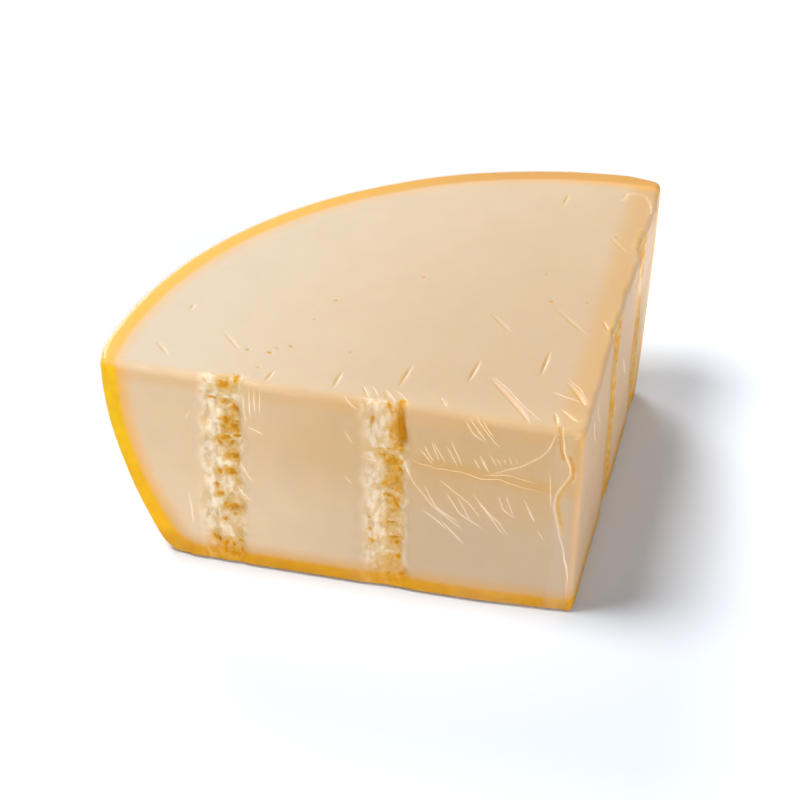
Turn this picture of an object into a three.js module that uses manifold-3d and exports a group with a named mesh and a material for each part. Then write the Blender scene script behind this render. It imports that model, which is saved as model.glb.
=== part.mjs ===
// An eighth of a wheel of hard cheese, sealed in clear film: the wheel is sawn level at half its height,
// and the lower half is cut into four. One solid, in millimetres, +Z up, standing on its rind base.
// It is drawn about the wheel's axis, which runs up the corner where the two upright cut faces meet:
// the front face lies in y = 0 and runs to -X, the right face lies in x = 0 and runs to +Y.
import * as THREE from "three";
import { mergeVertices } from "three/addons/utils/BufferGeometryUtils.js";
import Module from "manifold-3d";

const wasm = await Module();
wasm.setup();

// ---------------------------------------------------------------- driving dimensions

const WHEEL_RADIUS = 215; // at the level cut, where the wheel is widest
const PIECE_HEIGHT = 96; // half of the wheel's height
const FOOT_INSET = 32; // how much smaller the base is than the level cut
const SIDE_CURVE = 1.75; // 1 is a straight cone, more bulges the side
const HEEL_RADIUS = 13; // between the bulging side and the base
const BASE_EDGE_RADIUS = 2.2; // between the cut faces and the base
const TOP_EDGE_RADIUS = 3; // round the level cut, where the film pulls the edge over
const TIP_RADIUS = 3.5; // the upright edge on the wheel's axis
const RIM_CORNER_RADIUS = 4; // the two upright edges where the cut faces meet the side

// Torn grooves: the cutting frame's posts leave the same two on both upright faces.
const GROOVE_RADII = [88, 160.5]; // from the wheel's axis to the groove's middle, at the level cut
const GROOVE_WIDTH = 21;
const GROOVE_DEPTH = 3.6; // mean depth of the torn floor
const GROOVE_TILT = 0.25; // share by which the floor is deeper on the tip side and shallower on the rim side
const GROOVE_WALL = 2.5; // run from the edge of a groove to its floor
const LEAST_DEPTH = 0.8; // of the highest crumb
const EDGE_OUTSIDE = 0.4; // how far outside the face a groove's edge starts, so that its line wanders
const GROOVE_LEAN = 4.5; // how far the foot of a groove on the front face runs towards the axis
const LUMP_SIZE = 5.6; // one crumb of the torn floor
const LUMP_RELIEF = 4.6; // from a high crumb to a pit
const LUMP_ROUNDNESS = 1.1; // how fast a crumb falls away round its top
const TORN_GRID = 1.75; // spacing of the points on the torn floor

// A smooth plug fills the top of the front face's inner groove, with a pocket on its tip side.
const PLUG_HEIGHT = 26;
const PLUG_DEPTH = 1.1;
const PLUG_LEDGE = 4; // height over which the torn floor rises to the plug
const POCKET_WIDTH = 10.5;
const POCKET_DEPTH = 8;

// Nicks in the level cut, and two deeper creases that the film is drawn into: place, length and heading.
const NICK_WIDTH = 3.4;
const NICK_DEPTH = 1.4;
const NICK_ROW = { from: [-141, 9], step: [28.5, 10.3], lengths: [11, 16, 21, 22, 22], heading: -96 };
const NICKS = [
  { at: [-51, 76], length: 21, heading: -49 },
  { at: [-21, 85], length: 27, heading: -47 },
  { at: [-11, 153], length: 16, heading: -50 },
  { at: [-41, 186], length: 14, heading: -94 },
  { at: [-163, 31], length: 17, heading: -51 },
];
const CREASE_WIDTH = 4;
const CREASE_DEPTH = 2.2;
const CREASES = [
  { at: [-36, 18], length: 38, heading: -52 },
  { at: [-11, 30], length: 20, heading: -54 },
];

// Steps along the curves.
const ARC_STEPS = 44;
const CORNER_STEPS = 5;
const SIDE_STEPS = 10;
const ROUNDING_STEPS = 4;

// ---------------------------------------------------------------- geometry and solids

/** A geometry's closed surface as a manifold-3d solid. */
function solidOf(geometry) {
  const bare = geometry.clone();
  bare.deleteAttribute("normal");
  bare.deleteAttribute("uv");
  const merged = mergeVertices(bare, 1e-4);
  return new wasm.Manifold(
    new wasm.Mesh({
      numProp: 3,
      vertProperties: merged.attributes.position.array,
      triVerts: new Uint32Array(merged.index.array),
    }),
  );
}

/** A manifold-3d solid's surface as a geometry. */
function geometryOf(solid) {
  const mesh = solid.getMesh();
  const geometry = new THREE.BufferGeometry();
  geometry.setAttribute("position", new THREE.BufferAttribute(mesh.vertProperties, 3));
  geometry.setIndex(new THREE.BufferAttribute(mesh.triVerts, 1));
  geometry.computeVertexNormals();
  return geometry;
}

/** Joins closed rings of points, listed from the bottom up and counter-clockwise from above, into one surface. */
function loft(rings) {
  const size = rings[0].length;
  const middle = (ring) => ring.reduce((sum, p) => sum.add(p), new THREE.Vector3()).divideScalar(size);
  const points = [...rings.flat(), middle(rings[0]), middle(rings.at(-1))];
  const base = points.length - 2;
  const lid = points.length - 1;
  const faces = [];
  for (let column = 0; column < size; column++) {
    const next = (column + 1) % size;
    faces.push(base, next, column);
    for (let row = 0; row + 1 < rings.length; row++) {
      const [low, high] = [row * size, (row + 1) * size];
      faces.push(low + column, low + next, high + next, low + column, high + next, high + column);
    }
    faces.push((rings.length - 1) * size + column, (rings.length - 1) * size + next, lid);
  }
  const geometry = new THREE.BufferGeometry().setFromPoints(points);
  return geometry.setIndex(faces);
}

/** Evenly spaced numbers from a to b, both included. */
const steps = (a, b, count) => Array.from({ length: count + 1 }, (_, i) => THREE.MathUtils.lerp(a, b, i / count));

// ---------------------------------------------------------------- the smooth piece

/** Points on an arc in the XY plane, from one angle to another. */
function arc(centre, radius, from, to, count) {
  return steps(from, to, count).map((a) => new THREE.Vector2(centre.x + radius * Math.cos(a), centre.y + radius * Math.sin(a)));
}

/**
 * The outline at one level, counter-clockwise from above. The side stands at radius outer from the wheel's axis,
 * and everything is drawn in by inset, which rounds the edges of the base and of the level cut.
 */
function outline(outer, inset) {
  const tip = new THREE.Vector2(-TIP_RADIUS, TIP_RADIUS);
  const reach = Math.sqrt((outer - RIM_CORNER_RADIUS) ** 2 - RIM_CORNER_RADIUS ** 2);
  const back = new THREE.Vector2(-RIM_CORNER_RADIUS, reach);
  const left = new THREE.Vector2(-reach, RIM_CORNER_RADIUS);
  const corner = RIM_CORNER_RADIUS - inset;
  const [backAngle, leftAngle] = [back.angle(), left.angle()];
  return [
    ...arc(tip, TIP_RADIUS - inset, -Math.PI / 2, 0, CORNER_STEPS),
    ...arc(back, corner, 0, backAngle, CORNER_STEPS),
    ...arc(new THREE.Vector2(), outer - inset, backAngle, leftAngle, ARC_STEPS).slice(1, -1),
    ...arc(left, corner, leftAngle, 1.5 * Math.PI, CORNER_STEPS),
  ];
}

/** The side's radius at a height, before the heel is rounded. */
const sideRadius = (z) => WHEEL_RADIUS - FOOT_INSET * (1 - z / PIECE_HEIGHT) ** SIDE_CURVE;

/** The side's radius at a height, with the heel rolled under it by an arc that touches the side and the base. */
function heeledRadius(z) {
  const slope = (FOOT_INSET * SIDE_CURVE) / PIECE_HEIGHT; // the side's lean at the base
  const lean = Math.atan(slope);
  const touch = HEEL_RADIUS * (1 - Math.sin(lean)); // height where the arc leaves the side
  if (z >= touch) return sideRadius(z);
  const centre = sideRadius(touch) - HEEL_RADIUS * Math.cos(lean);
  return centre + Math.sqrt(HEEL_RADIUS ** 2 - (HEEL_RADIUS - z) ** 2);
}

function smoothPiece() {
  const quarter = steps(0, Math.PI / 2, ROUNDING_STEPS);
  const foot = quarter.map((a) => ({
    z: BASE_EDGE_RADIUS * (1 - Math.cos(a)),
    inset: BASE_EDGE_RADIUS * (1 - Math.sin(a)),
  }));
  const side = steps(0, 1, SIDE_STEPS).map((t) => ({
    z: THREE.MathUtils.lerp(BASE_EDGE_RADIUS, PIECE_HEIGHT - TOP_EDGE_RADIUS, t ** 1.4), // closer on the heel
    inset: 0,
  }));
  const top = quarter.map((a) => ({
    z: PIECE_HEIGHT - TOP_EDGE_RADIUS * (1 - Math.sin(a)),
    inset: TOP_EDGE_RADIUS * (1 - Math.cos(a)),
  }));
  const levels = [...foot, ...side.slice(1, -1), ...top];
  return solidOf(
    loft(
      levels.map(({ z, inset }) =>
        outline(heeledRadius(z), inset).map((p) => new THREE.Vector3(p.x, p.y, z)),
      ),
    ),
  );
}

// ---------------------------------------------------------------- the torn grooves

/** A number from 0 to 1 that depends only on three whole numbers. */
function hash(i, j, seed) {
  let h = Math.imul(i, 374761393) ^ Math.imul(j, 668265263) ^ Math.imul(seed, 2147483647);
  h = Math.imul(h ^ (h >>> 13), 1274126177);
  return ((h ^ (h >>> 16)) >>> 0) / 2 ** 32;
}

/** Relief of torn curd, about -0.5 in a pit and 0.5 on a crumb: the upper skin of domes, one in each cell. */
function crumbs(s, z, seed) {
  const [column, row] = [Math.floor(s / LUMP_SIZE), Math.floor(z / LUMP_SIZE)];
  let skin = -Infinity;
  for (let i = column - 1; i <= column + 1; i++)
    for (let j = row - 1; j <= row + 1; j++) {
      const ds = s / LUMP_SIZE - i - hash(i, j, seed);
      const dz = z / LUMP_SIZE - j - hash(i, j, seed + 1);
      skin = Math.max(skin, hash(i, j, seed + 2) - LUMP_ROUNDNESS * (ds ** 2 + dz ** 2));
    }
  return skin - 0.5;
}

/** How deep a groove is, across it (s from 0 on the rim side to GROOVE_WIDTH on the tip side) and up it. */
function grooveDepth(s, z, seed, plugged) {
  const wall = Math.min(1, Math.min(s, GROOVE_WIDTH - s) / GROOVE_WALL);
  const floor = GROOVE_DEPTH * (1 + GROOVE_TILT * ((2 * s) / GROOVE_WIDTH - 1));
  const torn = Math.max(floor - LUMP_RELIEF * crumbs(s, z, seed), LEAST_DEPTH);
  if (!plugged) return wall * torn - EDGE_OUTSIDE;
  const plugFoot = PIECE_HEIGHT - PLUG_HEIGHT;
  const onPlug = THREE.MathUtils.smoothstep(z, plugFoot, plugFoot + PLUG_LEDGE);
  const fromPocket = Math.min(1, Math.abs(s - GROOVE_WIDTH + POCKET_WIDTH / 2) / (POCKET_WIDTH / 2));
  const pocket = POCKET_DEPTH * Math.cos((fromPocket * Math.PI) / 2) ** 2;
  return wall * THREE.MathUtils.lerp(torn, PLUG_DEPTH + pocket, onPlug) - EDGE_OUTSIDE;
}

/** A block that cuts one groove into the face y = 0, its inner side torn. */
function grooveCutter(radius, lean, seed, plugged) {
  const clear = 6; // how far the block stands out of the face, the base and the level cut
  const tall = PIECE_HEIGHT + 2 * clear;
  const columns = Math.round(GROOVE_WIDTH / TORN_GRID);
  const rows = Math.round(tall / TORN_GRID);
  const block = new THREE.BoxGeometry(GROOVE_WIDTH, clear, tall, columns, 1, rows);
  block.translate(0, -clear / 2, PIECE_HEIGHT / 2);
  const points = block.attributes.position;
  for (let i = 0; i < points.count; i++) {
    const [x, y, z] = [points.getX(i), points.getY(i), points.getZ(i)];
    if (y === 0) points.setY(i, grooveDepth(x + GROOVE_WIDTH / 2, z, seed, plugged));
    points.setX(i, x - radius + lean * (1 - z / PIECE_HEIGHT));
  }
  return solidOf(block);
}

/** Turns a cutter made for the front face onto the right face: the two mirror each other across the corner. */
function onRightFace(cutter) {
  return cutter.mirror([1, 1, 0]);
}

// ---------------------------------------------------------------- nicks and creases

/** A slender spindle that lies half sunk in the level cut. */
function spindle({ at: [x, y], length, heading }, width, depth) {
  const shape = new THREE.SphereGeometry(1, 8, 6).rotateZ(Math.PI / 2); // its poles lie along X
  shape.scale(length / 2, width / 2, depth);
  shape.rotateZ(THREE.MathUtils.degToRad(heading));
  shape.translate(x, y, PIECE_HEIGHT);
  return solidOf(shape);
}

/** The even row of nicks beside the front edge. */
const nickRow = NICK_ROW.lengths.map((length, i) => ({
  at: [NICK_ROW.from[0] + i * NICK_ROW.step[0], NICK_ROW.from[1] + i * NICK_ROW.step[1]],
  length,
  heading: NICK_ROW.heading,
}));

// ---------------------------------------------------------------- the packed wedge

function wedge() {
  let solid = smoothPiece();
  GROOVE_RADII.forEach((radius, i) => {
    const plugged = i === 0;
    solid = solid.subtract(grooveCutter(radius, GROOVE_LEAN, 10 * i + 3, plugged));
    solid = solid.subtract(onRightFace(grooveCutter(radius, 0, 10 * i + 7, false)));
  });
  for (const nick of [...nickRow, ...NICKS]) solid = solid.subtract(spindle(nick, NICK_WIDTH, NICK_DEPTH));
  for (const crease of CREASES) solid = solid.subtract(spindle(crease, CREASE_WIDTH, CREASE_DEPTH));
  return solid;
}

const cheese = new THREE.MeshStandardMaterial({ color: 0xe3c497, roughness: 0.35, metalness: 0 });
const cheeseWedge = new THREE.Mesh(geometryOf(wedge()), cheese);
cheeseWedge.name = "cheese_wedge";

const part = new THREE.Group();
part.add(cheeseWedge);

// The part's own frame has its origin under the middle of its box, on the surface it stands on.
const box = new THREE.Box3().setFromObject(part);
const centre = box.getCenter(new THREE.Vector3());
part.position.set(-centre.x, -centre.y, -box.min.z);

export default part;
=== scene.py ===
import math
from collections import namedtuple

import bpy
import numpy as np
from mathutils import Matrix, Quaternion, Vector
from mathutils.geometry import delaunay_2d_cdt


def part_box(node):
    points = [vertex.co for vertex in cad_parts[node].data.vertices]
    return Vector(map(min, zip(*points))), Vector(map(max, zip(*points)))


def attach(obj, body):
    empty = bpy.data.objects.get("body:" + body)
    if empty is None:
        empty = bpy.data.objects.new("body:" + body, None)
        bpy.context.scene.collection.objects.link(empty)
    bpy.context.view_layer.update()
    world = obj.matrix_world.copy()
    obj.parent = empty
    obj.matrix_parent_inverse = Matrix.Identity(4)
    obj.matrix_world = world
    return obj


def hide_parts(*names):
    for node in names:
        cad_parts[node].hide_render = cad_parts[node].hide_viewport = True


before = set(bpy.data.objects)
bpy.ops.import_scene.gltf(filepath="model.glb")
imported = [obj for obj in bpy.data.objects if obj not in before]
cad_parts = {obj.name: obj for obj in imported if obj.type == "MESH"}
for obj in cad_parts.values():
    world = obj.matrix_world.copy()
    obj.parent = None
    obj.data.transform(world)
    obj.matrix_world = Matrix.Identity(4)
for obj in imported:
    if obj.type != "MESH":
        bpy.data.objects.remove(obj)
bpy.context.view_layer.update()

# ---------------- where the wedge stands, and the camera
# An eighth of a wheel of hard cheese. Every shape is drawn in millimetres about the axis of that wheel, the
# upright edge where the two cut faces meet. The front face runs from it to -X and the right one to +Y.

MM = 0.001
low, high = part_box("cheese_wedge")
AXIS = Vector((high.x, low.y, 0))

AIM = Vector((-96.4, 86, 39.9))
AZIMUTH = math.radians(9.783)
ELEVATION = math.radians(34.428)
ROLL = math.radians(3.078)  # the camera's right side is held a little high
DISTANCE = 1986.6
LENS = 197.67
SENSOR = 36.0

back_to_camera = Vector((
    math.sin(AZIMUTH) * math.cos(ELEVATION),
    -math.cos(AZIMUTH) * math.cos(ELEVATION),
    math.sin(ELEVATION),
))


def added(name, data):
    """A new object in the scene."""
    made = bpy.data.objects.new(name, data)
    bpy.context.scene.collection.objects.link(made)
    return made


lens = bpy.data.cameras.new("camera")
lens.lens = LENS
lens.sensor_width = SENSOR
camera = added("camera", lens)
camera.location = AXIS + (AIM + back_to_camera * DISTANCE) * MM
camera.rotation_mode = "QUATERNION"
camera.rotation_quaternion = (-back_to_camera).to_track_quat("-Z", "Y") @ Quaternion((0, 0, 1), ROLL)
bpy.context.scene.camera = camera

# ---------------- the cheese
# Pale pressed curd with a thin golden rind on its curved side and base. The two upright faces and the level
# top are sawn, the posts of the cutting frame have torn two grooves down each upright face, and handling has
# left slanting nicks in the top. It is one skin: walls unrolled round the outline, a top and a base.

WHEEL_RADIUS = 215.0  # at the level cut
HEIGHT = 96.0
FOOT_INSET = 32.0
SIDE_CURVE = 1.75
HEEL_RADIUS = 13.0
BASE_EDGE = 1.0
TOP_EDGE = 3.0
TIP_RADIUS = 3.5
RIM_CORNER = 4.0
FLAT_REACH = 171.0  # beyond this the upright faces shorten with the side's lean
CHEESE_GAP = 0.35  # the cheese lies this far inside the film
FOOT_RISE = 0.7  # the front's lower edge clears the table by this
FOOT_SAG = 2.1  # and stands this far out in its middle
SIDE_SAG = 1.1  # the curved side stands this far out,
HEEL_SAG = 0.7  # and its heel this much more

GROOVE_WIDTH = 21.0
GROOVE_LEAN = 4.5


def side_radius(z):
    """The bulging side's radius at a height."""
    return WHEEL_RADIUS - FOOT_INSET * (1 - z / HEIGHT) ** SIDE_CURVE


def heeled_radius(z):
    """The side's radius with the heel rolled under it."""
    lean = math.atan(FOOT_INSET * SIDE_CURVE / HEIGHT)
    touch = HEEL_RADIUS * (1 - math.sin(lean))
    centre = side_radius(touch) - HEEL_RADIUS * math.cos(lean)
    rolled = centre + np.sqrt(np.maximum(HEEL_RADIUS**2 - (HEEL_RADIUS - z) ** 2, 0))
    return np.where(z >= touch, side_radius(np.clip(z, touch, HEIGHT)), rolled)


def profile():
    """The edge of an upright face from base to top: distance along it, height, and how far drawn in."""
    turn = np.linspace(0, math.pi / 2, 7)
    z = np.concatenate([
        BASE_EDGE * (1 - np.cos(turn)),
        np.linspace(BASE_EDGE, HEIGHT - TOP_EDGE, 40)[1:-1],
        HEIGHT - TOP_EDGE * (1 - np.sin(turn)),
    ])
    inset = np.concatenate([BASE_EDGE * (1 - np.sin(turn)), np.zeros(38), TOP_EDGE * (1 - np.cos(turn))])
    along = np.concatenate([[0], np.cumsum(np.hypot(np.diff(z), np.diff(inset)))])
    return along, z, inset


ALONG, PROFILE_Z, PROFILE_INSET = profile()
TALL = float(ALONG[-1])

# Stations round the outline, from the tip's front side counter-clockwise.
REACH = math.sqrt((WHEEL_RADIUS - RIM_CORNER) ** 2 - RIM_CORNER**2)
BACK_ANGLE = math.atan2(REACH, -RIM_CORNER)
LEFT_ANGLE = math.atan2(RIM_CORNER, -REACH)
TIP_END = TIP_RADIUS * math.pi / 2
RIGHT_END = TIP_END + REACH - TIP_RADIUS
BACK_END = RIGHT_END + RIM_CORNER * BACK_ANGLE
RIM_END = BACK_END + WHEEL_RADIUS * (LEFT_ANGLE - BACK_ANGLE)
LEFT_END = RIM_END + RIM_CORNER * (1.5 * math.pi - LEFT_ANGLE)
ENDS = [TIP_END, RIGHT_END, BACK_END, RIM_END, LEFT_END]
ROUND = LEFT_END + REACH - TIP_RADIUS


def height_at(along):
    return np.interp(along, ALONG, PROFILE_Z)


def along_at(z):
    return float(np.interp(z, PROFILE_Z, ALONG))


def front_station(x):
    """The station of a place on the front face."""
    return LEFT_END + REACH + x


def right_station(y):
    """The station of a place on the right face."""
    return TIP_END + y - TIP_RADIUS


def place(u, v, depth, gap):
    """Points of the walls, u round the outline and v up the profile, pressed in by depth and gap."""
    z = height_at(v)
    inset = np.interp(v, ALONG, PROFILE_INSET) + depth + gap
    outer = heeled_radius(z)
    reach = np.sqrt((outer - RIM_CORNER) ** 2 - RIM_CORNER**2)
    back = np.arctan2(reach, -RIM_CORNER)
    left = np.arctan2(RIM_CORNER, -reach)

    def shortened(distance):
        far = FLAT_REACH + (distance - FLAT_REACH) * (reach - FLAT_REACH) / (REACH - FLAT_REACH)
        return np.where(distance > FLAT_REACH, far, distance)

    def arc(centre_x, centre_y, radius, angle):
        return centre_x + radius * np.cos(angle), centre_y + radius * np.sin(angle)

    def share(start, end):
        return (u - start) / (end - start)

    tip_radius = np.maximum(TIP_RADIUS - inset, 0.15)
    tip = arc(-TIP_RADIUS, TIP_RADIUS, tip_radius, (share(0, TIP_END) - 1) * math.pi / 2)
    right = (-inset, shortened(u - TIP_END + TIP_RADIUS))
    back_corner = arc(-RIM_CORNER, reach, RIM_CORNER - inset, share(RIGHT_END, BACK_END) * back)
    rim = arc(0, 0, outer - inset, back + share(BACK_END, RIM_END) * (left - back))
    turn = left + share(RIM_END, LEFT_END) * (1.5 * math.pi - left)
    left_corner = arc(-reach, RIM_CORNER, RIM_CORNER - inset, turn)
    front = (-shortened(REACH + LEFT_END - u), inset)
    parts = [tip, right, back_corner, rim, left_corner]
    x, y = (np.select([u <= end for end in ENDS], [part[k] for part in parts], front[k]) for k in (0, 1))
    raised = FOOT_RISE * smooth(v, 4, 0) * smooth(u, LEFT_END, LEFT_END + 30)
    return np.stack([x, y, gap + z * (HEIGHT - 2 * gap) / HEIGHT + raised], axis=1)


def hashed(i, j, seed):
    """Numbers from 0 to 1 that depend only on pairs of whole numbers and a seed."""
    mixed = (i * 374761393 + j * 668265263 + seed * 982451653) & 0xFFFFFFFF
    mixed = ((mixed ^ (mixed >> 13)) * 1274126177) & 0xFFFFFFFF
    return (mixed ^ (mixed >> 16)) / 2**32


def smooth(x, start, end):
    t = np.clip((x - start) / (end - start), 0, 1)
    return t * t * (3 - 2 * t)


def waves(a, b, size, seed):
    """Smooth noise from 0 to 1 over a plane."""
    i, j = np.floor(a / size).astype(np.int64), np.floor(b / size).astype(np.int64)
    s, t = smooth(a / size - i, 0, 1), smooth(b / size - j, 0, 1)
    low_side = hashed(i, j, seed) * (1 - s) + hashed(i + 1, j, seed) * s
    high_side = hashed(i, j + 1, seed) * (1 - s) + hashed(i + 1, j + 1, seed) * s
    return low_side * (1 - t) + high_side * t


def sway(a, b, size, seed):
    """The same noise, about zero."""
    return waves(a, b, size, seed) - 0.5


def crumbs(a, b, size, seed):
    """The upper skin of rounded crumbs, one in each cell, from about 0 in the gaps to 1 on the highest."""
    i, j = np.floor(a / size).astype(np.int64), np.floor(b / size).astype(np.int64)
    highest = np.full(a.shape, -9.0)
    for across in (-1, 0, 1):
        for up in (-1, 0, 1):
            from_a = a / size - i - across - hashed(i + across, j + up, seed)
            from_b = b / size - j - up - hashed(i + across, j + up, seed + 1)
            top = hashed(i + across, j + up, seed + 2)
            highest = np.maximum(highest, 0.45 + 0.55 * top - 0.9 * (from_a**2 + from_b**2))
    return highest


def turned(dx, dy, degrees):
    """Offsets measured along a heading, and to the left of it."""
    angle = math.radians(degrees)
    return dx * math.cos(angle) + dy * math.sin(angle), dy * math.cos(angle) - dx * math.sin(angle)


# The four torn grooves. A pit is: across from the groove's middle (towards the tip is positive), height,
# half width, half height, turn in degrees, and depth.
FRONT_OUTER_PITS = [
    (-10, 88, 1, 0.8, 0, 1.6), (0.6, 93, 2.2, 1.6, 0, 2.6), (6.3, 95, 1, 1.2, 0, 1.4),
    (-4.5, 85.5, 2.2, 0.6, -10, 1.2), (1.3, 84.2, 1.9, 1.2, -20, 2.6), (5.3, 81, 1.3, 2.2, 15, 2.8),
    (-9.9, 74.2, 1.2, 1, 0, 1.8), (1.2, 73.8, 1.4, 1.8, -10, 2.8), (5.1, 71, 2.3, 1.6, -35, 3),
    (6.3, 73.6, 0.8, 0.7, 0, 1.6), (6.2, 66.8, 1.9, 0.8, 5, 2.2), (0.9, 64.9, 2.2, 1.2, 10, 2.4),
    (3.4, 62.2, 0.8, 1.8, -30, 1.8), (-1.7, 61.6, 0.8, 1.5, 30, 1.8), (4.4, 55.8, 2, 1.8, 0, 3.2),
    (3.2, 47, 2.1, 1.6, -35, 2.8), (-2, 46.6, 0.9, 1.2, 0, 1.6), (-3.4, 39.1, 1, 1.1, 0, 1.8),
    (-1.7, 34.7, 1.3, 1, 20, 2.2), (3.2, 28, 2.2, 1.5, 15, 3.4), (0.2, 21.4, 1, 0.9, -40, 1.2),
    (-3.6, 10.4, 2.3, 1.2, -35, 2.6), (-9.4, 6.4, 0.7, 2.2, 25, 1.8), (0.2, 8.4, 1, 1.8, -10, 2),
    (3.4, 8, 1, 1.1, 0, 1.8), (-0.4, 5.2, 1.6, 1.3, 0, 2.4), (4.1, 4, 2.3, 1.5, -10, 3.2),
    (7, 10.4, 2, 0.6, -25, 1.8), (7.7, 5.8, 0.9, 1.3, 0, 1.8),
]
FRONT_INNER_PITS = [
    (1.2, 96, 0.7, 4.6, 18, 1.4), (-6.2, 86.2, 0.8, 2.4, -8, 1.6), (2.3, 72.2, 1.9, 0.6, -15, 1.8),
    (6.2, 74.2, 1, 0.9, 0, 1.8), (-1.4, 68.2, 1.5, 1.2, 20, 2.2), (2.7, 65.6, 2.6, 2.4, 0, 3.4),
    (6.2, 61.6, 1, 2, 20, 2.4), (4, 56.4, 1.9, 2.2, -10, 3.2), (-0.6, 54, 1.4, 1.6, 0, 1.2),
    (1.1, 47.6, 1.9, 1, 0, 2.2), (4.2, 43.8, 0.9, 3.6, 22, 2.8), (2, 32.8, 2.2, 0.6, 18, 1.8),
    (3.2, 25.3, 1.9, 0.6, 10, 2), (4.5, 22.6, 0.9, 1.2, 0, 1.8), (5.3, 15.3, 1.1, 1.4, 10, 2),
    (0.4, 5.6, 1.1, 0.9, 0, 1.8), (6.7, 6.4, 1.3, 0.7, 15, 1.8), (-6.6, 21.8, 1.3, 1, -30, 0.9),
    (-7.2, 28.3, 0.7, 0.9, 0, 0.7), (-7.6, 34.5, 0.9, 0.6, 0, 0.7), (-9, 17.4, 0.8, 0.4, 0, 0.7),
]
RIGHT_PITS = [
    (-8.8, 91, 2.6, 2.2, 0, 1.2), (-9.2, 83, 1.8, 3.6, 0, 1.2), (-8.8, 73, 2.8, 2, 10, 1.2),
    (5, 84, 2, 4, 0, 2.6), (3, 56, 2.4, 2, -20, 2.4), (-9, 58, 2, 1.6, 0, 1.2), (5.5, 47, 1.8, 3, 0, 2.6),
    (-9, 46, 2.2, 2.6, 0, 1.2), (2, 38, 2, 1.4, 30, 2), (-9, 34, 2.4, 1.6, 0, 1.2),
    (5, 28, 2.2, 3.5, 0, 2.6), (-3, 20, 1.6, 1.2, 0, 1.8), (4, 11, 2.4, 2, 15, 2.4),
    (-9, 12, 2, 1.4, 0, 1.2), (-2, 66, 1.2, 1.4, 0, 1.6),
]
# Soft patches of gold in the torn floors, partly the paste's own colour and partly painted shade: across,
# height, half width, half height, strength.
FRONT_OUTER_GOLD = [
    (3, 91, 6, 4, 0.55), (1.5, 84, 4.5, 2.5, 0.55), (5, 79.5, 3.5, 4, 0.65), (3.5, 71.5, 5, 4.5, 0.85),
    (2, 63.5, 5.5, 3.5, 0.7), (4.6, 55.5, 4, 4, 0.8), (3, 47, 4, 3.5, 0.65), (-2.5, 46.5, 2.5, 2.5, 0.35),
    (-2.5, 36.5, 3, 4, 0.4), (3.4, 28, 4.5, 4, 0.8), (1, 8, 8, 5.5, 0.6), (-9, 73, 2.5, 3.5, 0.4),
    (-9.5, 88, 2.5, 3, 0.4), (7, 40, 3, 8, 0.35), (6, 18, 4, 6, 0.4),
]
FRONT_INNER_GOLD = [
    (3.2, 65, 5, 6, 0.95), (4.2, 55, 4.5, 8, 0.9), (3.8, 45, 3.5, 6, 0.85), (2.5, 34, 4.5, 6, 0.6),
    (4, 24, 4, 6, 0.65), (2, 12, 6, 5, 0.65), (6.5, 36, 3.5, 14, 0.4), (-6.5, 22, 2.5, 3, 0.35),
    (-2, 70, 5, 2.5, 0.6), (6, 84, 4.5, 14, 0.9),
]
RIGHT_GOLD = [(0, 40, 30, 60, 0.75), (-8, 78, 5, 10, 0.95)]
Groove = namedtuple("Groove", "face radius seed pits gold plug")
GROOVES = [
    Groove("front", 160.5, 13, FRONT_OUTER_PITS, FRONT_OUTER_GOLD, False),
    Groove("front", 88, 23, FRONT_INNER_PITS, FRONT_INNER_GOLD, True),
    Groove("right", 88, 37, RIGHT_PITS, RIGHT_GOLD, False),
    Groove("right", 160.5, 47, RIGHT_PITS, RIGHT_GOLD, False),
]
PLUG_FOOT = 70.0
TORN_PALENESS = {"front": 1, "right": 0.2}


def in_pit(s, z, pit, seed):
    """How deep inside a pit's ragged edge a point is, and how near: 1 in its middle, 0 outside."""
    across, up, half_width, half_height, turn, _ = pit
    a, b = turned(s - across, z - up, turn)
    ragged = 0.75 * sway(s, z, 0.9, seed) + 0.5 * sway(s, z, 2.1, seed + 1)
    away = np.sqrt((a / half_width) ** 2 + (b / half_height) ** 2) + ragged
    return smooth(away, 1.5, 0.35), smooth(away, 2.6, 0.2)


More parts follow.
